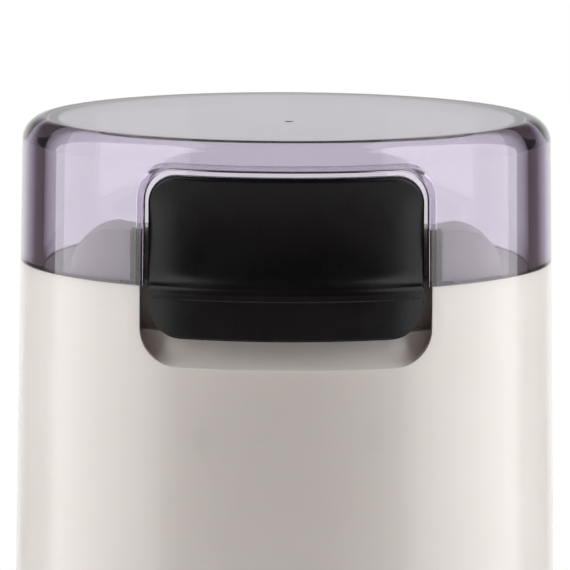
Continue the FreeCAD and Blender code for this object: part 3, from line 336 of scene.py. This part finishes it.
# the lid's smoky plastic
clear = {
    "tint": (0.40, 0.29, 0.50, 1),
    "density": 120.0,
    "ior": 1.57,
    "waves": 45,
    "bump": 0.02,
}


def lidPlastic():
    material = newMaterial("smokyClear", (1, 1, 1, 1), 0.0)
    tree = material.node_tree
    shader = tree.nodes["Principled BSDF"]
    shader.inputs["Transmission Weight"].default_value = 1
    shader.inputs["IOR"].default_value = clear["ior"]
    haze = addNode(tree, "ShaderNodeVolumeAbsorption")
    haze.inputs["Color"].default_value = clear["tint"]
    haze.inputs["Density"].default_value = clear["density"]
    place = addNode(tree, "ShaderNodeTexCoord")
    addBump(tree, place.outputs["Object"], clear["waves"], clear["bump"])
    tree.links.new(haze.outputs[0], tree.nodes["Material Output"].inputs["Volume"])
    return material


# helpers for modelling by hand
def only(piece):
    bpy.ops.object.select_all(action="DESELECT")
    piece.select_set(True)
    bpy.context.view_layer.objects.active = piece


def applyAll(piece):
    only(piece)
    bpy.ops.object.transform_apply(location=True, rotation=True, scale=True)


def addBlock(name, low, high):
    low = Vector(low)
    high = Vector(high)
    bpy.ops.mesh.primitive_cube_add(size=1, location=(low + high) / 2)
    piece = bpy.context.object
    piece.name = name
    piece.scale = high - low
    applyAll(piece)
    return piece


def cutWith(piece, tool, operation):
    only(piece)
    step = piece.modifiers.new("cut", "BOOLEAN")
    step.operation = operation
    step.solver = "EXACT"
    step.object = tool
    bpy.ops.object.modifier_apply(modifier=step.name)
    bpy.data.objects.remove(tool)


def pick(piece, kind, test):
    # selects the edges, faces or vertices that pass the test, and leaves the piece in edit mode
    only(piece)
    bpy.ops.object.mode_set(mode="EDIT")
    bpy.ops.mesh.select_mode(type=kind)
    bpy.ops.mesh.select_all(action="DESELECT")
    bpy.ops.object.mode_set(mode="OBJECT")
    mesh = piece.data
    if kind == "EDGE":
        for edge in mesh.edges:
            edge.select = test([mesh.vertices[v].co for v in edge.vertices])
    elif kind == "FACE":
        for face in mesh.polygons:
            face.select = test([mesh.vertices[v].co for v in face.vertices])
    else:
        for vertex in mesh.vertices:
            vertex.select = test([vertex.co])
    bpy.ops.object.mode_set(mode="EDIT")


def pickAll(piece, kind):
    pick(piece, kind, lambda points: True)


def leaveEdit():
    bpy.ops.object.mode_set(mode="OBJECT")


def weightNormals(piece, angle):
    only(piece)
    bpy.ops.object.shade_smooth_by_angle(angle=math.radians(angle))
    step = piece.modifiers.new("normals", "WEIGHTED_NORMAL")
    step.keep_sharp = True
    step.weight = 100
    bpy.ops.object.modifier_apply(modifier=step.name)


# lid: its wall is made flat, cut and rounded, then rolled up and closed at the top
lid = {
    "radius": 0.045,
    "draft": 0.88,
    "wall": 0.0038,
    "topWall": 0.0018,
    "edgeRound": 0.0039,
    "innerRound": 0.0025,
    "nicheHalf": 0.0232,
    "nicheHigh": 0.0192,
    "nicheCorner": 0.0052,
    "nicheDepth": 0.007,
    "nicheWall": 0.0006,
    "nicheSteps": 14,
    "plugLow": -0.002,
    "pocketDepths": (0.001, 0.004, 0.006),
    "voidDepths": (-0.001, 0.002, 0.0045),
    "rimRound": 0.0008,
    "rimReach": 0.026,
    "rimSteps": 6,
    "edgeSteps": 12,
    "innerSteps": 8,
    "tabAngle": 152,
    "tabHalf": 0.003,
    "tabDeep": 0.0102,
    "gate": (0.0004, -0.0094),
    "gateRadius": 0.00075,
    "gateDeep": 0.0003,
    "gateSteps": 48,
    "skirtOut": 0.0024,
    "skirtThick": 0.0014,
    "skirtDeep": 0.004,
    "skirtGap": 0.0263,
    "bite": 0.0005,
    "steps": 240,
    "weld": 2e-6,
    "slant": 0.002,
    "smoothAngle": 35,
}


def flatHalf(half, depth):
    # half width on the flat wall that becomes this straight half width once rolled up
    return lid["radius"] * math.asin(half / (lid["radius"] - depth))


def taperedPlug(name, half, high, corner, depths):
    bpy.ops.mesh.primitive_plane_add(size=1, rotation=(math.pi / 2, 0, 0))
    plug = bpy.context.object
    plug.name = name
    width = 2 * flatHalf(half, depths[0])
    low = lid["plugLow"]
    plug.dimensions = (width, high - low, 0)
    plug.location = (0, depths[0], (high + low) / 2)
    applyAll(plug)
    pick(plug, "VERT", lambda points: points[0].z > 0)
    bpy.ops.mesh.bevel(offset=corner, offset_pct=0, segments=lid["nicheSteps"], affect="VERTICES")
    bpy.ops.mesh.select_all(action="SELECT")
    before = flatHalf(half, depths[0])
    for start, end in zip(depths, depths[1:]):
        bpy.ops.mesh.extrude_region_move(TRANSFORM_OT_translate={"value": (0, end - start, 0)})
        after = flatHalf(half, end)
        bpy.ops.transform.resize(value=(after / before, 1, 1), center_override=(0, 0, 0))
        before = after
    bpy.ops.mesh.select_all(action="SELECT")
    bpy.ops.mesh.normals_make_consistent(inside=False)
    leaveEdit()
    return plug


def makeLid(made):
    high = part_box("lid")[1].z - seamHeight
    turn = math.pi * lid["radius"]
    tiny = 1e-5
    far = 1
    wall = addBlock("clearLid", (-turn, 0, 0), (turn, lid["wall"], high))
    pick(wall, "VERT", lambda points: points[0].z > high - tiny and points[0].y > tiny)
    bpy.ops.transform.translate(value=(0, 0, -lid["topWall"]))
    leaveEdit()
    half, top, corner, back = (lid[key] + lid["nicheWall"]
                               for key in ("nicheHalf", "nicheHigh", "nicheCorner", "nicheDepth"))
    pocket = taperedPlug("pocket", half, top, corner, (*lid["pocketDepths"], back))
    trim = addBlock("trim", (-turn, -far, -far), (turn, far, 0))
    cutWith(pocket, trim, "DIFFERENCE")
    cutWith(wall, pocket, "UNION")
    depths = (*lid["voidDepths"], lid["nicheDepth"])
    void = taperedPlug("void", lid["nicheHalf"], lid["nicheHigh"], lid["nicheCorner"], depths)
    cutWith(wall, void, "DIFFERENCE")
    gap = flatHalf(lid["skirtGap"], lid["skirtOut"])
    inner = lid["skirtOut"] + lid["skirtThick"]
    for side in (-1, 1):
        ends = sorted((side * gap, side * turn))
        low = (ends[0], lid["skirtOut"], -lid["skirtDeep"])
        skirt = addBlock("skirt", low, (ends[1], inner, lid["bite"]))
        cutWith(wall, skirt, "UNION")
    middle = lid["radius"] * math.radians(lid["tabAngle"])
    low = (middle - lid["tabHalf"], lid["skirtOut"], -lid["tabDeep"])
    tab = addBlock("switchTab", low, (middle + lid["tabHalf"], inner, lid["bite"]))
    cutWith(wall, tab, "UNION")
    print("lid wall cut", len(wall.data.polygons), "faces")

    def onRim(points):
        front = all(abs(p.y) < tiny for p in points)
        inNiche = all(abs(p.x) < lid["rimReach"] and p.z < lid["nicheHigh"] + tiny for p in points)
        flat = all(abs(p.z) < tiny for p in points)
        return front and inNiche and not flat

    pick(wall, "EDGE", onRim)
    bpy.ops.mesh.bevel(offset=lid["rimRound"], offset_pct=0, segments=lid["rimSteps"])
    leaveEdit()
    pickAll(wall, "FACE")
    for k in range(1, lid["steps"]):
        x = -turn + 2 * turn * k / lid["steps"]
        bpy.ops.mesh.select_all(action="SELECT")
        bpy.ops.mesh.bisect(plane_co=(x, 0, 0), plane_no=(1, 0, 0))
    leaveEdit()
    pick(wall, "FACE", lambda points: all(abs(abs(p.x) - turn) < tiny for p in points))
    bpy.ops.mesh.delete(type="FACE")
    leaveEdit()
    print("lid wall divided", len(wall.data.polygons), "faces")

    only(wall)
    bend = wall.modifiers.new("roll", "SIMPLE_DEFORM")
    bend.deform_method = "BEND"
    bend.deform_axis = "Z"
    bend.angle = 2 * math.pi
    bpy.ops.object.modifier_apply(modifier=bend.name)
    wall.location = (0, -lid["radius"], 0)
    applyAll(wall)
    pickAll(wall, "VERT")
    bpy.ops.mesh.remove_doubles(threshold=lid["weld"])
    leaveEdit()

    # the slanted top of the wall makes way for the lid's top plate and its ceiling
    ceiling = high - lid["topWall"]

    def onSlant(points):
        across = abs(points[0].to_2d().length - points[2].to_2d().length)
        levels = [p.z for p in points]
        return min(levels) > ceiling - tiny and max(levels) > high - tiny and across > lid["slant"]

    pick(wall, "FACE", onSlant)
    bpy.ops.mesh.delete(type="FACE")
    leaveEdit()
    inside = lid["radius"] - lid["wall"]
    rings = ((high, lid["radius"], lid["edgeRound"], lid["edgeSteps"]),
             (ceiling, inside, lid["innerRound"], lid["innerSteps"]))

    def pickRing(level, radius):
        pick(wall, "EDGE", lambda points: all(
            abs(p.z - level) < tiny and abs(p.to_2d().length - radius) < 10 * tiny for p in points))

    for level, radius, size, steps in rings:
        pickRing(level, radius)
        bpy.ops.mesh.edge_face_add()
        leaveEdit()
    for level, radius, size, steps in rings:
        pickRing(level, radius)
        bpy.ops.mesh.bevel(offset=size, offset_pct=0, segments=steps)
        leaveEdit()
    only(wall)
    bottom = min(v.co.z for v in wall.data.vertices)
    taper = wall.modifiers.new("draft", "SIMPLE_DEFORM")
    taper.deform_method = "TAPER"
    taper.deform_axis = "Z"
    taper.factor = -math.tan(math.radians(lid["draft"])) * (high - bottom) / lid["radius"]
    bpy.ops.object.modifier_apply(modifier=taper.name)
    wall.location = (0, 0, seamHeight)
    applyAll(wall)
    # small mark that the moulding gate leaves on the top
    bpy.ops.mesh.primitive_cylinder_add(vertices=lid["gateSteps"], radius=lid["gateRadius"],
                                        depth=2 * lid["gateDeep"], location=(*lid["gate"], seamHeight + high))
    cutWith(wall, bpy.context.object, "DIFFERENCE")
    pickAll(wall, "FACE")
    bpy.ops.mesh.select_all(action="SELECT")
    bpy.ops.mesh.normals_make_consistent(inside=False)
    leaveEdit()
    weightNormals(wall, lid["smoothAngle"])
    wall.data.materials.append(made["smoky_clear"])
    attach(wall, "lid")
    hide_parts("lid")
    print("lid made", len(wall.data.polygons), "faces")


# button's return spring: one ring of wire swept into a coil
spring = {
    "wire": 0.00025,
    "radius": 0.0022,
    "height": 0.1374,
    "turns": 6,
    "steps": 28,
    "wireSteps": 12,
    "weld": 1e-7,
    "travel": 0.00135,
    "smoothAngle": 50,
}


def makeSpring(made):
    low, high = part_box("button_spring")
    length = high.y - low.y
    pitch = (length - 2 * spring["wire"]) / spring["turns"]
    bpy.ops.mesh.primitive_circle_add(vertices=spring["wireSteps"], radius=spring["wire"],
                                      location=(spring["radius"], 0, 0))
    coil = bpy.context.object
    coil.name = "returnSpring"
    applyAll(coil)
    sweep = coil.modifiers.new("coil", "SCREW")
    sweep.axis = "Y"
    sweep.screw_offset = pitch
    sweep.iterations = spring["turns"]
    sweep.steps = spring["steps"]
    sweep.render_steps = spring["steps"]
    bpy.ops.object.modifier_apply(modifier=sweep.name)
    coil.location = (0, low.y + spring["wire"], spring["height"])
    applyAll(coil)
    pickAll(coil, "VERT")
    bpy.ops.mesh.remove_doubles(threshold=spring["weld"])
    bpy.ops.mesh.select_all(action="DESELECT")
    bpy.ops.mesh.select_mode(type="EDGE")
    bpy.ops.mesh.select_non_manifold()
    bpy.ops.mesh.fill()
    bpy.ops.mesh.select_all(action="SELECT")
    bpy.ops.mesh.normals_make_consistent(inside=False)
    leaveEdit()
    weightNormals(coil, spring["smoothAngle"])
    coil.data.materials.append(made["zinc_steel"])
    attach(coil, "housing")
    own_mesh(coil)
    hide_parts("button_spring")
    print("spring made", len(coil.data.polygons), "faces")


addCamera()
addStudio()
made = dressNodes()
makeLid(made)
makeSpring(made)
